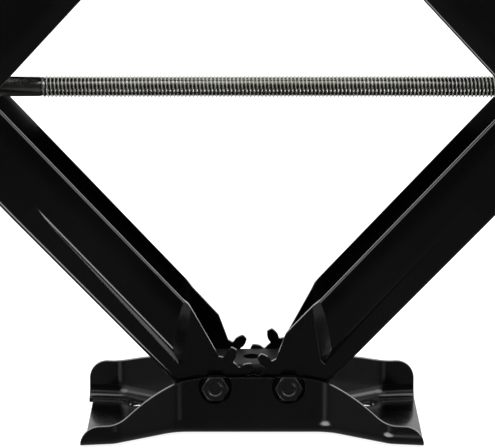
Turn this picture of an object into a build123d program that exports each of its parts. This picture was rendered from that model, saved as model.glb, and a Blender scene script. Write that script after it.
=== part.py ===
"""Scissor stabilizer jack: pressed-steel arms, geared at both brackets, closed by a lead screw.

Frame: X runs along the lead screw, Y across the jack, Z up. The origin is the centre of the
base bracket's underside. The jack stands part raised, with every arm at rest_angle.
Millimetres and degrees throughout.
"""
from build123d import *
from math import atan, atan2, cos, degrees, hypot, radians, sin, sqrt, tan
import os

os.makedirs("parts", exist_ok=True)

# Linkage
arm_length = 288.0         # gear pivot to trunnion
rest_angle = 47.0          # arm above the horizontal
lowest_angle = 6.0         # jack folded flat
pin_x = 26.0               # gear pivots each side of the middle, also the pitch radius
pin_z = 36.0               # gear pivots above the base, and below the top face
rise = arm_length * sin(radians(rest_angle))
reach = arm_length * cos(radians(rest_angle))
screw_z = pin_z + rise
top_pin_z = pin_z + 2 * rise
top_z = top_pin_z + pin_z
trunnion_x = pin_x + reach

# Pressed sheet
sheet = 3.0
sheet_bend = 4.0           # outer radius where an arm's web turns into its flanges
edge_round = 2.3           # free edges, rolled over on the outside

# Arms, measured from the gear pivot along the arm and from the pivot line towards the inside
web_offset = 20.0          # web face outside the pivot line
lower_edge = 27.5          # free flange edge inside the pivot line
upper_edge = 32.5
lower_end_half = 27.0      # half width over the flanges at the gear end
lower_panel_half = 35.5    # half width over the raised panel
end_gap = 0.5              # upper arm's gear end inside the lower arm's, when folded
nest_gap = 3.0             # upper arm's panel inside the lower arm's
upper_end_half = lower_end_half - sheet - end_gap
upper_panel_half = lower_panel_half - sheet - nest_gap
panel_crease = 12.0        # raised panel starts this far from the web face
crease_run = 5.5           # width of the slope between the band and the panel
crease_round = 4.0
joggle_start = 29.0        # raised panel starts this far from the gear pivot
ramp_foot = 4.0            # joggle has faded out this far inside the crease
ramp_reach = 26.0          # panel is full width this much further along at the free edge
curl_width = 7.0           # free edge curls in over twice this width
curl_angle = 14.0
band_full = 182.0          # the band beside the web is as wide as the panel from here on
upper_joggle_shift = 7.0
web_start = 28.0
web_stop = 78.0            # web stops this far short of the trunnion
ear = 20.0                 # flange past the trunnion's centre
ear_round = 17.0
bulk = 60.0                # cutting bodies reach past the metal by this much
crease_angle = 45.0        # slope of the raised panel's edge
near_enough = 0.01         # picks out edges and corners by where they are

# Gear sectors pressed into the flanges
teeth_per_turn = 10
pressure_angle = 20.0
addendum = 4.1
root_gap = 0.7
tip_radius = pin_x + addendum
root_radius = pin_x - addendum - root_gap
base_radius = pin_x * cos(radians(pressure_angle))
tooth_slack = 0.6          # degrees taken off each flank for backlash
tooth_pitch = 360.0 / teeth_per_turn
first_tooth = 69.0         # flange A's first tooth, from the arm's axis towards the inside
valley_lead = 19.0         # free edge meets the gear this much before the first tooth
valley_round = 2.5
tooth_tip_round = 1.2
tooth_root_round = 0.9
gear_corner = 57.5         # flange A's free edge ends here, B's is shorter by corner_step
corner_step = 31.0
corner_round = 4.0

# Pivot bolts, sleeves and spacers
bolt_d = 10.0
bolt_flats = 17.0
bolt_head = 6.8
head_dish_d = 10.5         # shallow forged dish in the bolt heads
head_dish = 0.9
nut_height = 8.0
thread_showing = 2.5       # past the nuts
chamfer_share = 0.475      # hexagon corners are turned off to this share of the flats
pin_chamfer = 0.9
washer_d = 20.0
washer_thickness = 2.0
sleeve_d = 14.0
run_clearance = 0.05       # radial, at every running fit
slip_clearance = 0.1       # radial, where a bolt only has to go through
side_gap = 0.3             # between flat faces that turn past each other
spacer_gap = 0.3
spacer_rise = 14.0         # spacer's top face above the pivots
spacer_half_length = 36.0
spacer_hole_d = 12.6
spacer_drop = 12.0         # spacer's side walls below the pivots

# Base and top brackets
dimple_depth = 2.0
dimple_radius = 12.0
bracket_bend = 12.0        # outer radius between a bracket's web and its walls
plan_round = 22.0
flare_start = 52.0
flare_stop = 94.0
web_inset = 3.0            # web ends inside the wall ends
base_half_length = 120.5
base_flare_half = 60.5
base_end_half = 64.5
wall_height = 43.0
shoulder_x = 58.0
shoulder_share = 0.7       # parts of a wall's slope taken up by the rounds at its two ends
foot_share = 0.18
low_wall = 16.0            # wall ends of both brackets
high_wall = 29.5           # rear wall ends of the base, cut down less
high_wall_run = 3.0        # its slope stops this much further out
wall_end_round = 13.5
base_hole_x = 85.0
base_hole_y = 38.0
base_hole_d = 11.0
top_half_length = 98.0
top_flare_stop = 78.0
top_flare_half = 46.0
top_end_half = 48.0
top_slot_x = 80.0
top_slot_y = 24.0
top_slot_length = 20.0
top_slot_d = 10.5

# Lead screw and what it carries, measured along X from the drive trunnion's centre
screw_d = 16.0
shank_d = 14.0
shank_end = 73.0           # plain shank turns into thread here
trunnion_d = 28.0
nut_trunnion_d = 30.0
trunnion_flat = 12.0
journal_d = 16.0
journal_tail = 1.6         # past the clips
race_d = 26.0
race_thickness = 2.0
ball_d = 4.8
ball_count = 9
ball_ring = 10.0
cage_thickness = 1.6
drive_flats = 19.0
drive_flange_d = 25.0
drive_flange = 2.5
drive_head_length = 26.0
cross_pin_d = 5.0
collar_d = 22.0
collar_length = 8.0
clip_thickness = 1.4
clip_groove = 1.2
clip_width = 3.0
clip_play = 0.2
clip_mouth = 10.0
clip_mouth_depth = 14.4
cage_inset = 0.6
shank_share = 0.8          # of the drive head's length, where the shank ends
head_pin_share = 0.45      # and where its pin goes through
stop_margin = 1.0
stop_d = 24.0
stop_thickness = 4.0
stop_pin_offset = 3.0
end_margin = 9.0


def write(piece, label):
    """Name a finished piece and write its file."""
    piece.part.label = label
    export_step(piece.part, f"parts/{label}.step")


def involute(radius):
    """Angle, in degrees, that the involute of the base circle has turned at this radius."""
    roll = sqrt((radius / base_radius) ** 2 - 1)
    return degrees(roll - atan(roll))


def gear_tooth(middle):
    """One involute tooth face, its middle at this angle from the sketch's X axis."""
    half_at_pitch = tooth_pitch / 4 - tooth_slack
    steps = 5

    def flank(side):
        points = []
        for step in range(steps + 1):
            radius = base_radius + (tip_radius - base_radius) * step / steps
            angle = radians(middle + side * (half_at_pitch + involute(pin_x) - involute(radius)))
            points.append((radius * cos(angle), radius * sin(angle)))
        return points

    near, far = flank(-1), flank(1)
    tip = (tip_radius * cos(radians(middle)), tip_radius * sin(radians(middle)))
    with BuildSketch() as tooth:
        with BuildLine():
            Spline(*near)
            ThreePointArc(near[-1], tip, far[-1])
            Spline(*far)
            Polyline(far[0], (0, 0), near[0])
        make_face()
    return tooth.sketch


def flange_outline(edge, tooth_angle, teeth, corner):
    """Side view of one arm flange, with its gear sector round the pivot at the origin."""
    valley = radians(tooth_angle - valley_lead)
    with BuildSketch() as outline:
        with BuildLine():
            Polyline(
                (corner, edge),
                (root_radius * cos(valley), root_radius * sin(valley)),
                (0, 0),
                (0, -web_offset),
                (arm_length + ear, -web_offset),
                (arm_length + ear, edge),
                (corner, edge),
            )
        make_face()
        fillet([v for v in outline.vertices() if v.X > arm_length], radius=ear_round)
        gear_end = [v for v in outline.vertices() if v.X < arm_length / 2]
        fillet([v for v in gear_end if v.Y > edge - 1], radius=corner_round)
        Circle(root_radius)
        for number in range(teeth):
            add(gear_tooth(tooth_angle + number * tooth_pitch))
        tips = [v for v in outline.vertices() if abs(hypot(v.X, v.Y) - tip_radius) < near_enough]
        fillet(tips, radius=tooth_tip_round)
        roots = [v for v in outline.vertices() if abs(hypot(v.X, v.Y) - root_radius) < near_enough]
        fillet([v for v in roots if v.Y > -root_radius / 2], radius=tooth_root_round)
    return outline.sketch


def mirrored_outline(points):
    """Closed outline from its half with Y above zero, listed from the X axis back to it."""
    with BuildSketch() as outline:
        with BuildLine() as half_outline:
            Polyline(*points)
            mirror(half_outline.line, about=Plane.XZ)
        make_face()
    return outline.sketch


def ramp_plane(end_half, panel_half, joggle, crease, edge, side):
    """Plane that lets the joggle fade out towards the free edge of this side's flange."""
    step = panel_half - end_half
    top = Vector(joggle + step, side * panel_half, crease)
    far = Vector(joggle + step + ramp_reach, side * panel_half, edge)
    foot = Vector(joggle, side * end_half, crease + ramp_foot)
    outward = (far - top).cross(foot - top).normalized()
    if outward.Y * side < 0:
        outward = outward * -1
    return Plane(origin=top, x_dir=(far - top).normalized(), z_dir=outward)


def arm_width(end_half, panel_half, edge, joggle, inset, floor):
    """Everything between an arm's outer faces, moved in by inset: web band and raised panel."""
    shift = inset * tan(radians(crease_angle / 2))
    step = panel_half - end_half
    crease = panel_crease - web_offset
    ramps = [ramp_plane(end_half, panel_half, joggle, crease, edge, side) for side in (-1, 1)]
    crease, start = crease + shift, joggle + shift
    end_half, panel_half = end_half - inset, panel_half - inset
    far = arm_length + bulk
    curl_start = edge - curl_width
    with BuildPart() as panel:
        with BuildSketch(Plane.XY.offset(crease)):
            add(mirrored_outline((
                (start, 0), (start, end_half), (start + step, panel_half), (far, panel_half), (far, 0),
            )))
        extrude(amount=bulk - crease)
        with BuildSketch(Plane.YZ) as section:
            with BuildLine() as half_outline:
                Polyline(
                    (0, crease), (end_half, crease), (panel_half, crease + crease_run),
                    (panel_half, bulk), (0, bulk),
                )
                mirror(half_outline.line, about=Plane.YZ)
            make_face()
            ridge = [v for v in section.vertices() if abs(v.Y - crease - crease_run) < near_enough]
            fillet(ridge, radius=crease_round)
        extrude(amount=far, mode=Mode.INTERSECT)
        for ramp in ramps:
            split(bisect_by=ramp.offset(-inset), keep=Keep.BOTTOM)
    with BuildPart() as width:
        with BuildSketch(Plane.XY.offset(floor)):
            add(mirrored_outline((
                (-bulk, 0), (-bulk, end_half), (start, end_half), (band_full, panel_half),
                (far, panel_half), (far, 0),
            )))
        extrude(amount=bulk - floor)
        bends = width.edges().group_by(Axis.Z)[0].filter_by(lambda e: abs(e.center().Y) > 1)
        fillet(bends, radius=sheet_bend - inset)
        add(panel.part)
        with BuildSketch(Plane.YZ) as section:
            with BuildLine() as half_outline:
                Polyline(
                    (0, floor), (panel_half, floor), (panel_half, curl_start),
                    (panel_half - (bulk - curl_start) * tan(radians(curl_angle)), bulk), (0, bulk),
                )
                mirror(half_outline.line, about=Plane.YZ)
            make_face()
            turn = [v for v in section.vertices() if abs(v.Y - curl_start) < near_enough]
            fillet(turn, radius=curl_width / tan(radians(curl_angle / 2)))
        extrude(amount=far, both=True, mode=Mode.INTERSECT)
    return width.part


def arm(end_half, panel_half, edge, joggle):
    """One arm lying along X with its gear pivot at the origin and its inside towards +Z."""
    shape = (end_half, panel_half, edge, joggle)
    outside = arm_width(*shape, 0, -web_offset)
    inside = arm_width(*shape, sheet, sheet - web_offset)
    with BuildPart() as channel:
        for side, tooth_angle, teeth, corner in (
            (1, first_tooth, 4, gear_corner),
            (-1, first_tooth + tooth_pitch / 2, 3, gear_corner - corner_step),
        ):
            with BuildSketch(Plane.XZ):
                add(flange_outline(edge, tooth_angle, teeth, corner))
            extrude(amount=-side * bulk)
        add(outside, mode=Mode.INTERSECT)
        add(inside, mode=Mode.SUBTRACT)
        for first, last, half, depth in (
            (-bulk, web_start, end_half - sheet, sheet),
            (arm_length - web_stop, arm_length + bulk, bulk, sheet_bend),
        ):
            with BuildSketch(Plane.XY.offset(-web_offset)):
                with Locations(((first + last) / 2, 0)):
                    Rectangle(last - first, 2 * half)
            extrude(amount=depth, mode=Mode.SUBTRACT)
        for x, diameter in ((0, sleeve_d), (arm_length, journal_d)):
            with Locations(Plane(origin=(x, 0, 0), z_dir=(0, 1, 0))):
                Cylinder(diameter / 2 + run_clearance, 2 * bulk, mode=Mode.SUBTRACT)
        free = channel.edges().filter_by(
            lambda e: e.length > arm_length / 2 and abs(e.center().Z - edge) < near_enough
        )
        fillet(free.sort_by(lambda e: abs(e.center().Y))[-2:], radius=edge_round)
    return channel.part


def bracket_hull(half_length, mid_half, flare_end, flare_half, end_half, inset):
    """Solid within a bracket's outer faces, moved in by inset, reaching past the ends."""
    slope = (end_half - flare_half) / (half_length - flare_end)
    far_x = half_length + bulk
    far_half = end_half + slope * bulk
    with BuildPart() as hull:
        with BuildSketch(Plane.XY.offset(inset)) as plan:
            with BuildLine() as half_outline:
                Polyline(
                    (-far_x, 0),
                    (-far_x, far_half),
                    (-flare_end, flare_half),
                    (-flare_start, mid_half),
                    (flare_start, mid_half),
                    (flare_end, flare_half),
                    (far_x, far_half),
                    (far_x, 0),
                )
                mirror(half_outline.line, about=Plane.XZ)
            make_face()
            fillet([v for v in plan.vertices() if abs(v.X) < half_length], radius=plan_round)
            if inset:
                offset(amount=-inset, kind=Kind.INTERSECTION, mode=Mode.REPLACE)
        extrude(amount=wall_height + bulk)
        low = hull.edges().group_by(Axis.Z)[0]
        fillet([e for e in low if abs(e.center().X) < half_length + bulk / 2 + 1],
               radius=bracket_bend - inset)
    return hull.part


def wall_profile(half_length, slope_end, end_height):
    """Side view of one bracket wall: level in the middle, sloping down to its rounded ends."""
    run, drop = slope_end - shoulder_x, wall_height - end_height
    spread = hypot(run, drop) / tan(atan2(drop, run) / 2)
    with BuildSketch() as profile:
        with BuildLine() as half_outline:
            Polyline(
                (0, 0), (half_length, 0), (half_length, end_height), (slope_end, end_height),
                (shoulder_x, wall_height), (0, wall_height),
            )
            mirror(half_outline.line, about=Plane.YZ)
        make_face()
        for x, radius in (
            (shoulder_x, shoulder_share * spread), (slope_end, foot_share * spread),
            (half_length, wall_end_round),
        ):
            corners = [v for v in profile.vertices() if v.Y > 0 and abs(abs(v.X) - x) < near_enough]
            fillet(corners, radius=radius)
    return profile.sketch


def bracket(half_length, arm_half, flare_end, flare_half, end_half, rear_end, rear_height):
    """Pressed bow-tie channel, web down, with its pivot holes in dimples in the walls."""
    dimple_face = arm_half + side_gap
    wall_inside = dimple_face + dimple_depth
    wall_outside = wall_inside + sheet
    shape = (half_length, wall_outside, flare_end, flare_half, end_half)
    outside = bracket_hull(*shape, 0)
    inside = bracket_hull(*shape, sheet)
    with BuildPart() as walls:
        for facing, slope_end, end_height in (
            (1, flare_end, low_wall), (-1, rear_end, rear_height),
        ):
            with BuildSketch(Plane.XZ):
                add(wall_profile(half_length, slope_end, end_height))
            extrude(amount=facing * (flare_half + bulk))
    with BuildPart() as channel:
        add(outside)
        add(inside, mode=Mode.SUBTRACT)
        for x in (-pin_x, pin_x):
            for side in (-1, 1):
                across = Plane(origin=(x, 0, pin_z), x_dir=(1, 0, 0), z_dir=(0, side, 0))
                with BuildSketch(across.offset(dimple_face)):
                    Circle(dimple_radius - dimple_depth / 2)
                extrude(amount=dimple_depth, taper=-45)
                with BuildSketch(across.offset(dimple_face + sheet)):
                    Circle(dimple_radius - dimple_depth)
                extrude(amount=dimple_depth, taper=-45, mode=Mode.SUBTRACT)
                with BuildSketch(across):
                    Circle(bolt_d / 2 + slip_clearance)
                extrude(amount=wall_outside + sheet, mode=Mode.SUBTRACT)
        add(walls.part, mode=Mode.INTERSECT)
        for side in (-1, 1):
            with BuildSketch(Plane.XY):
                with Locations((side * half_length, 0)):
                    Rectangle(2 * web_inset, 2 * (end_half - bracket_bend))
            extrude(amount=sheet, mode=Mode.SUBTRACT)
    return channel.part


def spacer(arm_half):
    """Inverted channel that keeps the arms' gear ends apart, round the two pivot sleeves."""
    half = arm_half - sheet - spacer_gap
    top = pin_z + spacer_rise
    low = pin_z - spacer_drop
    with BuildPart() as channel:
        with BuildSketch(Plane.YZ) as section:
            with Locations((0, (top + low) / 2)):
                Rectangle(2 * half, top - low)
            fillet(section.vertices().group_by(Axis.Y)[-1], radius=sheet_bend)
            with Locations((0, (top + low) / 2 - sheet)):
                Rectangle(2 * (half - sheet), top - low, mode=Mode.SUBTRACT)
        extrude(amount=spacer_half_length, both=True)
        corners = channel.edges().filter_by(Axis.Y).group_by(Axis.Z)[0]
        fillet(corners, radius=spacer_drop)
        with BuildSketch(Plane.XY.offset(top)):
            Circle(spacer_hole_d / 2)
        extrude(amount=-sheet, mode=Mode.SUBTRACT)
        with BuildSketch(Plane.XZ):
            with Locations((-pin_x, pin_z), (pin_x, pin_z)):
                Circle(sleeve_d / 2 + run_clearance)
        extrude(amount=half, both=True, mode=Mode.SUBTRACT)
    return channel.part


def tube(outer_d, inner_d, length):
    """Ring standing on the XY plane."""
    with BuildPart() as ring:
        with BuildSketch():
            Circle(outer_d / 2)
            if inner_d:
                Circle(inner_d / 2, mode=Mode.SUBTRACT)
        extrude(amount=length)
    return ring.part


def hexagon(flats, height, bore=0.0, dish=0.0):
    """Hexagon prism standing on the XY plane, its top corners turned off at 30 degrees."""
    turned = chamfer_share * flats
    with BuildPart() as head:
        with BuildSketch():
            RegularPolygon(flats / 2, 6, major_radius=False)
        extrude(amount=height)
        with BuildSketch(Plane.XZ):
            Polygon(
                (0, 0), (turned + height / tan(radians(30)), 0), (turned, height), (0, height),
                align=None,
            )
        revolve(axis=Axis.Z, mode=Mode.INTERSECT)
        if bore:
            with BuildSketch():
                Circle(bore / 2)
            extrude(amount=height, mode=Mode.SUBTRACT)
        if dish:
            with BuildSketch(Plane.XY.offset(height)):
                Circle(head_dish_d / 2)
            extrude(amount=-dish, taper=45, mode=Mode.SUBTRACT)
    return head.part


def across_plane(x, z, y, facing):
    """Plane square to Y at this place, facing +Y or -Y."""
    return Plane(origin=(x, y, z), x_dir=(1, 0, 0), z_dir=(0, facing, 0))


def pivot_set(name, arm_half, z):
    """Bolts, sleeves, washers and nuts of one bracket's two gear pivots."""
    seat = arm_half + side_gap + sheet
    shank = 2 * seat + washer_thickness + nut_height + thread_showing
    for side, label in ((-1, "left"), (1, "right")):
        front = across_plane(side * pin_x, z, -seat, -1)
        back = across_plane(side * pin_x, z, -seat, 1)
        with BuildPart() as bolt:
            with Locations(front.location):
                add(hexagon(bolt_flats, bolt_head, dish=head_dish))
            with Locations(back.location):
                add(tube(bolt_d, 0, shank))
            tail = bolt.edges().group_by(Axis.Y)[-1]
            chamfer(tail, length=pin_chamfer)
        write(bolt, f"{name}_pivot_bolt_{label}")
    inner = arm_half + side_gap
    rows = (
        ("sleeves", tube(sleeve_d, bolt_d + 2 * slip_clearance, 2 * inner), -inner),
        ("washers", tube(washer_d, bolt_d + 2 * slip_clearance, washer_thickness), seat),
        ("nuts", hexagon(bolt_flats, nut_height, bolt_d + 2 * slip_clearance),
         seat + washer_thickness),
    )
    for label, piece, y in rows:
        with BuildPart() as group:
            for side in (-1, 1):
                with Locations(across_plane(side * pin_x, z, y, 1).location):
                    add(piece)
        write(group, f"{name}_pivot_{label}")


# Arms
slope_x, slope_z = cos(radians(rest_angle)), sin(radians(rest_angle))
lower_shape = arm(lower_end_half, lower_panel_half, lower_edge, joggle_start)
upper_shape = arm(upper_end_half, upper_panel_half, upper_edge, joggle_start + upper_joggle_shift)
for label, shape, side, up in (
    ("lower_left_arm", lower_shape, -1, 1),
    ("lower_right_arm", lower_shape, 1, 1),
    ("upper_left_arm", upper_shape, -1, -1),
    ("upper_right_arm", upper_shape, 1, -1),
):
    frame = Plane(
        origin=(side * pin_x, 0, pin_z if up > 0 else top_pin_z),
        x_dir=(side * slope_x, 0, up * slope_z),
        z_dir=(-side * slope_z, 0, up * slope_x),
    )
    with BuildPart() as arm_piece:
        with Locations(frame.location):
            add(shape)
    write(arm_piece, label)

# Base bracket
base_shape = bracket(base_half_length, lower_end_half, flare_stop, base_flare_half, base_end_half,
                     flare_stop + high_wall_run, high_wall)
with BuildPart() as base_foot:
    add(base_shape)
    with BuildSketch(Plane.XY):
        with GridLocations(2 * base_hole_x, 2 * base_hole_y, 2, 2):
            Circle(base_hole_d / 2)
    extrude(amount=sheet, mode=Mode.SUBTRACT)
write(base_foot, "base_foot")

with BuildPart() as base_spacer:
    add(spacer(lower_end_half))
write(base_spacer, "base_spacer")
pivot_set("base", lower_end_half, pin_z)

# Top bracket, the same pressing upside down and shorter
upside_down = Plane(origin=(0, 0, top_z), x_dir=(1, 0, 0), z_dir=(0, 0, -1))
top_shape = bracket(top_half_length, upper_end_half, top_flare_stop, top_flare_half, top_end_half,
                    top_flare_stop, low_wall)
with BuildPart() as top_bracket:
    with Locations(upside_down.location):
        add(top_shape)
    with BuildSketch(Plane.XY.offset(top_z)):
        with GridLocations(2 * top_slot_x, 2 * top_slot_y, 2, 2):
            SlotOverall(top_slot_length, top_slot_d)
    extrude(amount=-sheet, mode=Mode.SUBTRACT)
write(top_bracket, "top_bracket")

with BuildPart() as top_spacer:
    with Locations(upside_down.location):
        add(spacer(upper_end_half))
write(top_spacer, "top_spacer")
pivot_set("top", upper_end_half, top_pin_z)


def along_screw(x, facing=1):
    """Plane square to the screw's axis, x from the drive trunnion's centre."""
    return Plane(origin=(x - trunnion_x, 0, screw_z), x_dir=(0, 1, 0), z_dir=(facing, 0, 0))


# Trunnions, with the washers and clips on their journals
body_half = upper_panel_half - sheet - side_gap
washer_y = lower_panel_half + side_gap
clip_y = washer_y + washer_thickness + clip_play
journal_end = clip_y + clip_thickness + journal_tail
for name, side, diameter, bore in (
    ("drive_trunnion", -1, trunnion_d, shank_d),
    ("nut_trunnion", 1, nut_trunnion_d, screw_d),
):
    x = side * trunnion_x
    middle = across_plane(x, screw_z, 0, 1)
    with BuildPart() as trunnion:
        with BuildSketch(middle):
            Circle(diameter / 2)
        extrude(amount=body_half, both=True)
        with BuildSketch(middle):
            Circle(journal_d / 2)
        extrude(amount=journal_end, both=True)
        ends = trunnion.edges().filter_by(GeomType.CIRCLE)
        chamfer([e for e in ends if abs(abs(e.center().Y) - journal_end) < near_enough],
                length=pin_chamfer)
        for facing in (-1, 1):
            with BuildSketch(middle.offset(facing * clip_y)):
                Circle(journal_d / 2)
                Circle(journal_d / 2 - clip_groove, mode=Mode.SUBTRACT)
            extrude(amount=facing * (clip_thickness + clip_play / 2), mode=Mode.SUBTRACT)
            with BuildSketch(Plane(origin=(x + facing * trunnion_flat, 0, screw_z),
                                   x_dir=(0, 1, 0), z_dir=(facing, 0, 0))):
                Rectangle(2 * body_half, diameter)
            extrude(amount=diameter, mode=Mode.SUBTRACT)
        with BuildSketch(Plane(origin=(x, 0, screw_z), x_dir=(0, 1, 0), z_dir=(1, 0, 0))):
            Circle(bore / 2 + run_clearance)
        extrude(amount=diameter, both=True, mode=Mode.SUBTRACT)
    write(trunnion, name)

    for label, y, thickness in (
        ("spacers", upper_panel_half + side_gap, nest_gap - 2 * side_gap),
        ("washers", washer_y, washer_thickness),
    ):
        washer = tube(diameter - 2, journal_d + 2 * slip_clearance, thickness)
        with BuildPart() as washers:
            for facing in (-1, 1):
                with Locations(across_plane(x, screw_z, facing * y, facing).location):
                    add(washer)
        write(washers, f"{name}_{label}")

    with BuildPart() as clips:
        for facing in (-1, 1):
            with BuildSketch(across_plane(x, screw_z, facing * clip_y, facing)):
                Circle(journal_d / 2 + clip_width)
                Circle(journal_d / 2 - clip_groove + run_clearance, mode=Mode.SUBTRACT)
                with Locations((0, -journal_d / 2)):
                    Rectangle(clip_mouth, clip_mouth_depth, mode=Mode.SUBTRACT)
            extrude(amount=clip_thickness)
    write(clips, f"{name}_clips")

# Lead screw
spread = 2 * (pin_x + arm_length * cos(radians(lowest_angle)))
stop_x = spread + nut_trunnion_d / 2 + stop_margin
screw_end = stop_x + stop_thickness + end_margin
race_x = -trunnion_flat
ball_x = race_x - race_thickness - run_clearance - ball_d / 2
outer_race_x = ball_x - ball_d / 2
head_x = outer_race_x - race_thickness
shank_start = head_x - drive_flange - shank_share * drive_head_length
head_pin_x = head_x - drive_flange - head_pin_share * drive_head_length
collar_x = trunnion_flat + side_gap
collar_pin_x = collar_x + collar_length / 2
stop_pin_x = stop_x + stop_thickness + stop_pin_offset

with BuildPart() as lead_screw:
    with BuildSketch(along_screw(shank_start)):
        Circle(shank_d / 2)
    extrude(amount=shank_end - shank_start)
    with BuildSketch(along_screw(shank_end)):
        Circle(screw_d / 2)
    extrude(amount=screw_end - shank_end)
    steps = lead_screw.edges().filter_by(GeomType.CIRCLE).filter_by(
        lambda e: abs(e.radius - screw_d / 2) < near_enough
    )
    chamfer(steps, length=pin_chamfer)
    for x in (head_pin_x, collar_pin_x, stop_pin_x):
        with BuildSketch(Plane.XY.offset(screw_z)):
            with Locations((x - trunnion_x, 0)):
                Circle(cross_pin_d / 2)
        extrude(amount=screw_d, both=True, mode=Mode.SUBTRACT)
write(lead_screw, "lead_screw")


def cross_pin(x, length, label):
    """Pin through the screw, lying along Z."""
    with BuildPart() as pin:
        with BuildSketch(Plane.XY.offset(screw_z)):
            with Locations((x - trunnion_x, 0)):
                Circle(cross_pin_d / 2)
        extrude(amount=length / 2, both=True)
        chamfer(pin.edges().filter_by(GeomType.CIRCLE), length=pin_chamfer / 2)
    write(pin, label)


with BuildPart() as drive_head:
    with Locations(along_screw(head_x - drive_flange, -1).location):
        add(hexagon(drive_flats, drive_head_length))
    with Locations(along_screw(head_x, -1).location):
        add(tube(drive_flange_d, 0, drive_flange))
    with BuildSketch(along_screw(head_x)):
        Circle(shank_d / 2)
    extrude(amount=shank_start - head_x, mode=Mode.SUBTRACT)
    with BuildSketch(Plane.XY.offset(screw_z)):
        with Locations((head_pin_x - trunnion_x, 0)):
            Circle(cross_pin_d / 2)
    extrude(amount=drive_flats, both=True, mode=Mode.SUBTRACT)
write(drive_head, "drive_head")
cross_pin(head_pin_x, drive_flats - side_gap, "drive_head_pin")

with BuildPart() as retaining_collar:
    with Locations(along_screw(collar_x).location):
        add(tube(collar_d, shank_d, collar_length))
    chamfer(retaining_collar.edges().filter_by(GeomType.CIRCLE).group_by(Axis.X)[-1][-1:], pin_chamfer)
    with BuildSketch(Plane.XY.offset(screw_z)):
        with Locations((collar_pin_x - trunnion_x, 0)):
            Circle(cross_pin_d / 2)
    extrude(amount=collar_d, both=True, mode=Mode.SUBTRACT)
write(retaining_collar, "retaining_collar")
cross_pin(collar_pin_x, collar_d - side_gap, "retaining_collar_pin")

with BuildPart() as end_stop_washer:
    with Locations(along_screw(stop_x).location):
        add(tube(stop_d, screw_d + 2 * slip_clearance, stop_thickness))
write(end_stop_washer, "end_stop_washer")
cross_pin(stop_pin_x, stop_d, "end_stop_pin")

# Thrust bearing between the drive head and its trunnion
race = tube(race_d, shank_d + 2 * slip_clearance, race_thickness)
for label, x in (("thrust_race_inner", race_x), ("thrust_race_outer", outer_race_x)):
    with BuildPart() as ring:
        with Locations(along_screw(x, -1).location):
            add(race)
    write(ring, label)

with BuildPart() as thrust_balls:
    with Locations(along_screw(ball_x).location):
        with PolarLocations(ball_ring, ball_count):
            Sphere(ball_d / 2)
write(thrust_balls, "thrust_balls")

with BuildPart() as thrust_cage:
    with BuildSketch(along_screw(ball_x)):
        Circle(race_d / 2 - cage_inset)
        Circle(shank_d / 2 + cage_inset, mode=Mode.SUBTRACT)
        with PolarLocations(ball_ring, ball_count):
            Circle(ball_d / 2 + run_clearance, mode=Mode.SUBTRACT)
    extrude(amount=cage_thickness / 2, both=True)
write(thrust_cage, "thrust_cage")
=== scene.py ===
"""Looks of the scissor stabilizer jack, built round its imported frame.

Metres, in the part's own frame: X along the lead screw, Y across, Z up, with the origin under
the base bracket. Black gloss paint over pressed steel, black-oxide fasteners, a zinc-plated
rolled screw, and bright steel and brass in the thrust bearing.
"""
import math

import bpy
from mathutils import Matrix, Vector


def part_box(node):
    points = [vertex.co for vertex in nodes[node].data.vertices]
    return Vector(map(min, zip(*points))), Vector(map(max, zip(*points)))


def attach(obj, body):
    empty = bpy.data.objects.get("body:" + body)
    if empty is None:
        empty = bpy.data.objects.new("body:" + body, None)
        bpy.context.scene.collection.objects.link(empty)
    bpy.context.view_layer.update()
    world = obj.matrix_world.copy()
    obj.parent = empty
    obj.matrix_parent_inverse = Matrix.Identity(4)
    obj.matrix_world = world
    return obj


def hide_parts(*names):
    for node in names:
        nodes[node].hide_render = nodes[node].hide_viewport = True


MM = 0.001
EDGE_SAMPLES = 6
PAINT_EDGE = 0.7 * MM             # softened edge of the paint
OXIDE_EDGE = 0.5 * MM             # and of the black fasteners

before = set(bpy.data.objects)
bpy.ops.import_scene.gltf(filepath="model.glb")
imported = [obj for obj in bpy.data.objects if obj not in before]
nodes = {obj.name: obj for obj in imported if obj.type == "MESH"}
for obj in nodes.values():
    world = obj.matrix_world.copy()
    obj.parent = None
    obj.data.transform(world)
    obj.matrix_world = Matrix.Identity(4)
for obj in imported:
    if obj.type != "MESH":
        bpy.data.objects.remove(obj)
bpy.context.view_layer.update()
scene = bpy.context.scene


# ---------------------------------------------------------------- shader helpers

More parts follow.
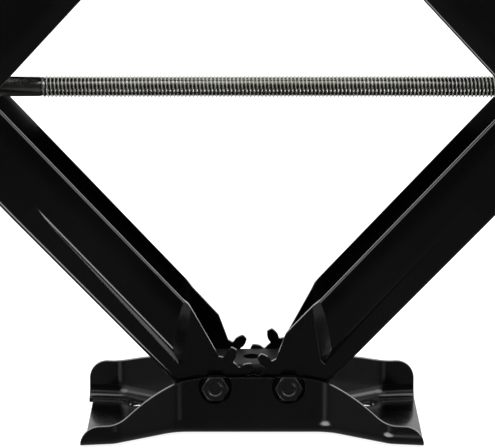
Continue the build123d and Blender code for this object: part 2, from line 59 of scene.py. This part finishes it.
class Graph:
    """A node tree with short calls for the nodes the materials are made of."""

    def __init__(self, tree):
        self.tree = tree
        tree.nodes.clear()

    def node(self, kind, inputs=(), **settings):
        made = self.tree.nodes.new(kind)
        for name, value in settings.items():
            setattr(made, name, value)
        for name, value in dict(inputs).items():
            socket = made.inputs[name]
            if isinstance(value, bpy.types.NodeSocket):
                self.tree.links.new(value, socket)
            else:
                socket.default_value = value
        return made

    def math(self, operation, a, b=0.0):
        return self.node("ShaderNodeMath", {0: a, 1: b}, operation=operation).outputs[0]

    def noise(self, place, scale, detail=3.0, roughness=0.55):
        made = self.node("ShaderNodeTexNoise", {
            "Vector": place, "Scale": scale, "Detail": detail, "Roughness": roughness,
        })
        return made.outputs["Fac"]

    def remap(self, value, low, high, out_low, out_high, smooth=False):
        made = self.node("ShaderNodeMapRange", {
            "Value": value, "From Min": low, "From Max": high,
            "To Min": out_low, "To Max": out_high,
        })
        if smooth:
            made.interpolation_type = "SMOOTHSTEP"
        return made.outputs["Result"]

    def mix(self, factor, a, b):
        made = self.node("ShaderNodeMix", data_type="RGBA")
        made.inputs["Factor"].default_value = 0.5
        self.tree.links.new(factor, made.inputs["Factor"])
        for socket, value in (("A", a), ("B", b)):
            target = [s for s in made.inputs if s.name == socket and s.type == "RGBA"][0]
            if isinstance(value, bpy.types.NodeSocket):
                self.tree.links.new(value, target)
            else:
                target.default_value = (*value, 1.0)
        return [s for s in made.outputs if s.type == "RGBA"][0]

    def bump(self, height, distance, strength=1.0, normal=None):
        inputs = {"Height": height, "Distance": distance, "Strength": strength}
        if normal is not None:
            inputs["Normal"] = normal
        return self.node("ShaderNodeBump", inputs).outputs["Normal"]

    def object_place(self):
        return self.node("ShaderNodeTexCoord").outputs["Object"]


    def soft_edges(self, radius):
        """Rounded normal within this radius, and how far it turns from the plain one."""
        rounded = self.node("ShaderNodeBevel", {"Radius": radius}, samples=EDGE_SAMPLES)
        plain = self.node("ShaderNodeNewGeometry")
        turned = self.node("ShaderNodeVectorMath", {
            0: rounded.outputs["Normal"], 1: plain.outputs["Normal"],
        }, operation="DOT_PRODUCT")
        return rounded.outputs["Normal"], turned.outputs["Value"]


def new_material(name):
    made = bpy.data.materials.new(name)
    made.use_nodes = True
    graph = Graph(made.node_tree)
    shader = graph.node("ShaderNodeBsdfPrincipled")
    output = graph.node("ShaderNodeOutputMaterial")
    graph.tree.links.new(shader.outputs["BSDF"], output.inputs["Surface"])
    return made, graph, shader


def connect(graph, shader, **sockets):
    for name, value in sockets.items():
        socket = shader.inputs[name.replace("_", " ")]
        if isinstance(value, bpy.types.NodeSocket):
            graph.tree.links.new(value, socket)
        else:
            socket.default_value = value


# ---------------------------------------------------------------- materials

def gloss_paint():
    """Black stove enamel: fine orange peel, faint panel waviness, a little dust, thin edges."""
    made, graph, shader = new_material("gloss_black_paint")
    place = graph.object_place()
    cloud = graph.noise(place, 9.0, 4.0)
    speck = graph.noise(place, 900.0, 2.0)
    dust = graph.math("MULTIPLY", graph.remap(cloud, 0.45, 0.75, 0.0, 1.0), speck)
    rounded, turned = graph.soft_edges(PAINT_EDGE)
    edge = graph.remap(turned, 0.99, 0.80, 0.0, 1.0)
    worn = graph.math("MULTIPLY", edge, graph.remap(speck, 0.45, 0.65, 0.2, 1.0))
    colour = graph.mix(dust, (0.0012, 0.0012, 0.0013), (0.0042, 0.0041, 0.0039))
    colour = graph.mix(worn, colour, (0.007, 0.007, 0.007))
    rough = graph.remap(graph.noise(place, 45.0, 5.0), 0.3, 0.7, 0.13, 0.22)
    rough = graph.math("ADD", rough, graph.math("MULTIPLY", worn, 0.06))
    wave = graph.bump(graph.noise(place, 16.0, 1.0), 0.35 * MM, 0.5, rounded)
    peel = graph.bump(graph.noise(place, 420.0, 2.0), 0.02 * MM, 0.35, wave)
    connect(graph, shader, Base_Color=colour, Roughness=rough, Normal=peel,
            Specular_IOR_Level=0.5, Coat_Weight=0.25, Coat_Roughness=0.08)
    return made


def black_oxide():
    """Black fasteners: a thin satin finish that shows steel on its sharpest edges."""
    made, graph, shader = new_material("black_oxide_steel")
    place = graph.object_place()
    rounded, turned = graph.soft_edges(OXIDE_EDGE)
    speck = graph.noise(place, 700.0, 4.0)
    worn = graph.math("MULTIPLY", graph.remap(turned, 0.98, 0.80, 0.0, 1.0),
                      graph.remap(speck, 0.35, 0.65, 0.0, 1.0))
    colour = graph.mix(speck, (0.0025, 0.0025, 0.0025), (0.0065, 0.0063, 0.006))
    colour = graph.mix(worn, colour, (0.03, 0.03, 0.029))
    rough = graph.remap(speck, 0.3, 0.7, 0.18, 0.30)
    grain = graph.bump(graph.noise(place, 1500.0, 3.0), 0.012 * MM, 0.5, rounded)
    connect(graph, shader, Base_Color=colour, Roughness=rough, Normal=grain,
            Specular_IOR_Level=0.55)
    return made


def satin_black():
    """Thin, dull black coat of the channel spacers, slightly mottled."""
    made, graph, shader = new_material("satin_black_coat")
    place = graph.object_place()
    cloud = graph.noise(place, 30.0, 4.0)
    speck = graph.noise(place, 800.0, 3.0)
    colour = graph.mix(graph.math("MULTIPLY", cloud, speck), (0.004, 0.004, 0.004),
                       (0.016, 0.0158, 0.0155))
    rough = graph.remap(cloud, 0.3, 0.7, 0.50, 0.62)
    grain = graph.bump(speck, 0.015 * MM, 0.5)
    connect(graph, shader, Base_Color=colour, Roughness=rough, Normal=grain,
            Specular_IOR_Level=0.16)
    return made


def metal(name, pale, dark, rough_low, rough_high, scale, grain):
    """Bare or plated metal with a mottled tone and fine grain."""
    made, graph, shader = new_material(name)
    place = graph.object_place()
    mottle = graph.noise(place, scale, 4.0)
    colour = graph.mix(graph.remap(mottle, 0.35, 0.65, 0.0, 1.0), dark, pale)
    rough = graph.remap(graph.noise(place, scale * 2.3, 5.0), 0.3, 0.7, rough_low, rough_high)
    fine = graph.bump(graph.noise(place, scale * 9.0, 3.0), grain, 0.5)
    connect(graph, shader, Base_Color=colour, Roughness=rough, Normal=fine, Metallic=1.0)
    return made


def zinc_thread(axis_z, root_radius, crest_radius):
    """Zinc-plated screw: pale crests, roots darkened in the colour as painted shade, a faint
    yellow passivation.
    """
    made, graph, shader = new_material("zinc_plated_thread")
    place = graph.object_place()
    xyz = graph.node("ShaderNodeSeparateXYZ", {0: place})
    across = graph.math("POWER", xyz.outputs["Y"], 2.0)
    up = graph.math("POWER", graph.math("SUBTRACT", xyz.outputs["Z"], axis_z), 2.0)
    radius = graph.math("SQRT", graph.math("ADD", across, up))
    height = graph.remap(radius, root_radius, crest_radius, 0.0, 1.0, smooth=True)
    mottle = graph.noise(place, 60.0, 4.0)
    plated = graph.mix(graph.remap(mottle, 0.35, 0.65, 0.0, 1.0),
                       (0.74, 0.74, 0.69), (0.86, 0.87, 0.84))
    # painted shade: the dark colour of the thread's roots, where shade falls between the turns
    painted_root_shade = graph.mix(mottle, (0.16, 0.155, 0.125), (0.26, 0.25, 0.21))
    shade = graph.remap(height, 0.0, 0.75, 0.0, 1.0)
    colour = graph.mix(shade, painted_root_shade, plated)
    rough = graph.remap(graph.noise(place, 260.0, 4.0), 0.3, 0.7, 0.16, 0.30)
    drawn = graph.node("ShaderNodeMapping", {"Vector": place, "Scale": (1.0, 7.0, 7.0)})
    fine = graph.bump(graph.noise(drawn.outputs[0], 400.0, 3.0), 0.02 * MM, 0.5)
    connect(graph, shader, Base_Color=colour, Roughness=rough, Normal=fine, Metallic=1.0)
    return made


# ---------------------------------------------------------------- lead screw

PITCH = 2.68 * MM
THREAD_DEPTH = 1.5 * MM
TURN_STEPS = 32
RUN_OUT = 1.5                     # turns over which the thread fades at each end
# One pitch of the thread form: share of the pitch, share of the depth
THREAD_FORM = ((0.00, 0.0), (0.22, 0.0), (0.52, 0.9), (0.60, 1.0), (0.68, 0.9))
END_CHAMFER = 0.9 * MM
END_SHARE = 0.35                  # of the crest radius, where the thread's end chamfer starts
SHANK_BREAK = 0.6 * MM            # broken edge at the drive end
NECK_START = 0.4 * MM             # shank narrows from here before the thread to
NECK_STOP = 1.2 * MM              # here inside it
CORE_CLEAR = 0.05 * MM            # core stays this far under the thread's roots
TAIL_BREAK = 0.3 * MM             # length and depth of the core's far chamfer
TAIL_DEPTH = 1.0 * MM


def screw_sizes():
    """Axis height, end positions, radii and where the thread starts, from the CAD screw."""
    low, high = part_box("lead_screw")
    axis = (low.z + high.z) / 2
    crest = (high.z - low.z) / 2
    points = [v.co for v in nodes["lead_screw"].data.vertices]
    shank = max(math.hypot(p.y, p.z - axis) for p in points if p.x < low.x + MM)
    full = [p.x for p in points if math.hypot(p.y, p.z - axis) > crest - 0.05 * MM]
    return axis, low.x, high.x, shank, crest, min(full)


def ring_of(x, radius, axis):
    turns = [2 * math.pi * step / TURN_STEPS for step in range(TURN_STEPS)]
    return [(x, radius * math.sin(a), axis + radius * math.cos(a)) for a in turns]


def thread_points(start, stop, axis, crest, root):
    """Vertices of a right-hand thread as rows that climb one pitch per turn."""
    stations = len(THREAD_FORM)
    turns = int(round((stop - start) / PITCH)) + 1
    points = []
    for step in range(TURN_STEPS):
        angle = 2 * math.pi * step / TURN_STEPS
        for turn in range(turns + 1):
            for along, depth in THREAD_FORM:
                x = start + PITCH * (turn - 1 + along + step / TURN_STEPS)
                x = min(max(x, start), stop)
                fade_in = min(1.0, (x - start) / (RUN_OUT * PITCH))
                fade_out = min(1.0, (stop - x) / (END_CHAMFER * 1.2) + END_SHARE)
                radius = root + (crest - root) * depth * fade_in
                radius = min(radius, crest * fade_out)
                points.append((x, -radius * math.sin(angle), axis + radius * math.cos(angle)))
    row = (turns + 1) * stations
    faces = []
    for step in range(TURN_STEPS):
        for place in range(row - 1):
            here = step * row + place
            if step + 1 < TURN_STEPS:
                across = here + row
                faces.append((here, here + 1, across + 1, across))
            elif place + stations + 1 < row:
                across = place + stations
                faces.append((here, here + 1, across + 1, across))
    return points, faces


def lathe(outline, axis):
    """Surface of revolution about the screw's axis from (x, radius) pairs, closed at its ends."""
    points, faces = [], []
    for x, radius in outline:
        points += ring_of(x, radius, axis)
    for ring in range(len(outline) - 1):
        for step in range(TURN_STEPS):
            a = ring * TURN_STEPS + step
            b = ring * TURN_STEPS + (step + 1) % TURN_STEPS
            faces.append((a, b, b + TURN_STEPS, a + TURN_STEPS))
    last = (len(outline) - 1) * TURN_STEPS
    faces.append(tuple(range(TURN_STEPS))[::-1])
    faces.append(tuple(range(last, last + TURN_STEPS)))
    return points, faces


def mesh_object(name, points, faces, material, smooth_angle=35.0):
    mesh = bpy.data.meshes.new(name)
    mesh.from_pydata([tuple(p) for p in points], [], faces)
    mesh.validate()
    mesh.polygons.foreach_set("use_smooth", [True] * len(mesh.polygons))
    mesh.set_sharp_from_angle(angle=math.radians(smooth_angle))
    mesh.materials.append(material)
    made = bpy.data.objects.new(name, mesh)
    scene.collection.objects.link(made)
    return made


def build_screw():
    axis, x_low, x_high, shank, crest, thread_start = screw_sizes()
    root = crest - THREAD_DEPTH
    material = zinc_thread(axis, root, crest)

    points, faces = lathe([
        (x_low, shank - SHANK_BREAK), (x_low + SHANK_BREAK, shank),
        (thread_start - 2 * MM, shank), (thread_start - NECK_START, shank),
        (thread_start + NECK_STOP, root - CORE_CLEAR),
        (x_high - TAIL_BREAK, root - CORE_CLEAR), (x_high, root - TAIL_DEPTH),
    ], axis)
    core = mesh_object("lead_screw_shank", points, faces, material)
    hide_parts("lead_screw")
    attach(core, "lead_screw")

    points, faces = thread_points(thread_start, x_high, axis, crest, root)
    thread = mesh_object("lead_screw_thread", points, faces, material, 50.0)
    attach(thread, "lead_screw")


# ---------------------------------------------------------------- finishes on the CAD nodes

def finish_nodes():
    paint, oxide = gloss_paint(), black_oxide()
    steel = metal("ground_steel", (0.62, 0.62, 0.61), (0.42, 0.42, 0.41),
                  0.18, 0.34, 120.0, 0.01 * MM)
    zinc = metal("zinc_plate", (0.66, 0.66, 0.62), (0.50, 0.50, 0.44),
                 0.22, 0.40, 90.0, 0.015 * MM)
    brass = metal("pressed_brass", (0.74, 0.52, 0.22), (0.58, 0.38, 0.14),
                  0.20, 0.38, 100.0, 0.01 * MM)
    finishes = {
        "black_paint": paint, "black_fastener": oxide, "zinc_screw": zinc,
        "bright_steel": steel, "brass_cage": brass,
    }
    for node in nodes.values():
        for place in node.material_slots:
            place.material = finishes[place.material.name.split(".")[0]]
    spacer_coat = satin_black()
    for name in ("base_spacer", "top_spacer"):
        for place in nodes[name].material_slots:
            place.material = spacer_coat


# ---------------------------------------------------------------- floor, light and camera

FLOOR_HALF = 40.0
FLOOR_DROP = 0.2 * MM             # keeps the floor off the base's underside


def stage_floor():
    made, graph, shader = new_material("pale_floor")
    tone = graph.noise(graph.object_place(), 1.3, 2.0)
    colour = graph.mix(tone, (0.50, 0.50, 0.50), (0.54, 0.54, 0.53))
    connect(graph, shader, Base_Color=colour, Roughness=0.9, Specular_IOR_Level=0.0,
            Emission_Color=(1.0, 1.0, 1.0, 1.0), Emission_Strength=0.90)
    half = FLOOR_HALF
    mesh = bpy.data.meshes.new("floor")
    mesh.from_pydata([(-half, -half, 0), (half, -half, 0), (half, half, 0), (-half, half, 0)],
                     [], [(0, 1, 2, 3)])
    mesh.materials.append(made)
    floor = bpy.data.objects.new("floor", mesh)
    floor.location.z = -FLOOR_DROP
    scene.collection.objects.link(floor)
    floor.visible_glossy = False


# Soft round lights: direction, radius and softness in degrees, strength
SOFT_LIGHTS = (
    ((-0.46, -0.60, -0.65), 8.0, 9.0, 6.0),       # low at the front left
    ((-0.50, -0.85, -0.235), 3.0, 6.0, 0.5),      # two that the base's flares catch
    ((0.50, -0.85, -0.235), 3.0, 6.0, 0.25),
    ((0.75, -0.35, 0.60), 9.0, 12.0, 3.0),        # high at both sides
    ((-0.70, -0.45, 0.55), 8.0, 12.0, 3.0),
    ((0.0, -0.15, 1.0), 20.0, 20.0, 1.8),         # overhead
    ((-0.84, 0.49, -0.20), 12.0, 12.0, 2.0),      # two that the thread's flanks catch
    ((0.84, 0.49, -0.20), 12.0, 12.0, 2.0),
)


def studio_world():
    """White room seen directly; to the paint, a dark front, white back and sides, soft panels."""
    world = bpy.data.worlds.new("studio")
    scene.world = world
    world.use_nodes = True
    graph = Graph(world.node_tree)
    direction = graph.node("ShaderNodeTexCoord").outputs["Generated"]
    xyz = graph.node("ShaderNodeSeparateXYZ", {0: direction})

    def panel(aim, radius, softness, strength):
        """Soft round light in this direction, radius and softness in degrees."""
        unit = Vector(aim).normalized()
        facing = graph.node("ShaderNodeVectorMath", {0: direction, 1: tuple(unit)},
                            operation="DOT_PRODUCT").outputs["Value"]
        outer, inner = (math.cos(math.radians(a)) for a in (radius + softness, radius))
        return graph.remap(facing, outer, inner, 0.0, strength, smooth=True)

    front = graph.remap(xyz.outputs["Z"], -0.28, -0.08, 0.08, 0.025, smooth=True)
    behind = graph.remap(xyz.outputs["Y"], -0.30, 0.25, 0.0, 1.0, smooth=True)
    sideways = graph.math("ABSOLUTE", xyz.outputs["X"])
    beside = graph.remap(sideways, 0.45, 0.85, 0.0, 0.7, smooth=True)
    raised = graph.remap(xyz.outputs["Z"], -0.25, 0.02, 0.18, 1.0, smooth=True)
    shaded = graph.remap(xyz.outputs["Z"], -0.75, -0.35, 0.12, 1.0, smooth=True)
    light = graph.math("MAXIMUM", graph.math("MULTIPLY", behind, shaded),
                       graph.math("MULTIPLY", beside, raised))
    low = graph.remap(xyz.outputs["Z"], 0.15, 0.75, 1.0, 0.45, smooth=True)
    light = graph.math("MAXIMUM", graph.math("MULTIPLY", light, low), front)
    for aim, radius, softness, strength in SOFT_LIGHTS:
        light = graph.math("ADD", light, panel(aim, radius, softness, strength))
    seen = graph.node("ShaderNodeLightPath").outputs["Is Camera Ray"]
    strength = graph.math("ADD", graph.math("MULTIPLY", light, graph.math("SUBTRACT", 1.0, seen)),
                          seen)
    background = graph.node("ShaderNodeBackground", {"Color": (1, 1, 1, 1), "Strength": strength})
    output = graph.node("ShaderNodeOutputWorld")
    graph.tree.links.new(background.outputs[0], output.inputs["Surface"])


FRAME_WIDTH = 495                 # pixels
FOCAL_PIXELS = 2666.0
SENSOR = 36.0
CAMERA_PLACE = (-3.2 * MM, -1848 * MM, 568 * MM)
CAMERA_DOWN = 12.82               # degrees below level


def photo_camera():
    data = bpy.data.cameras.new("camera")
    data.sensor_fit = "HORIZONTAL"
    data.sensor_width = SENSOR
    data.lens = SENSOR * FOCAL_PIXELS / FRAME_WIDTH
    data.clip_start, data.clip_end = 0.05, 200.0
    camera = bpy.data.objects.new("camera", data)
    camera.location = CAMERA_PLACE
    camera.rotation_euler = (math.radians(90.0 - CAMERA_DOWN), 0.0, 0.0)
    scene.collection.objects.link(camera)
    scene.camera = camera


build_screw()
finish_nodes()
stage_floor()
studio_world()
photo_camera()
scene.view_settings.view_transform = "Standard"
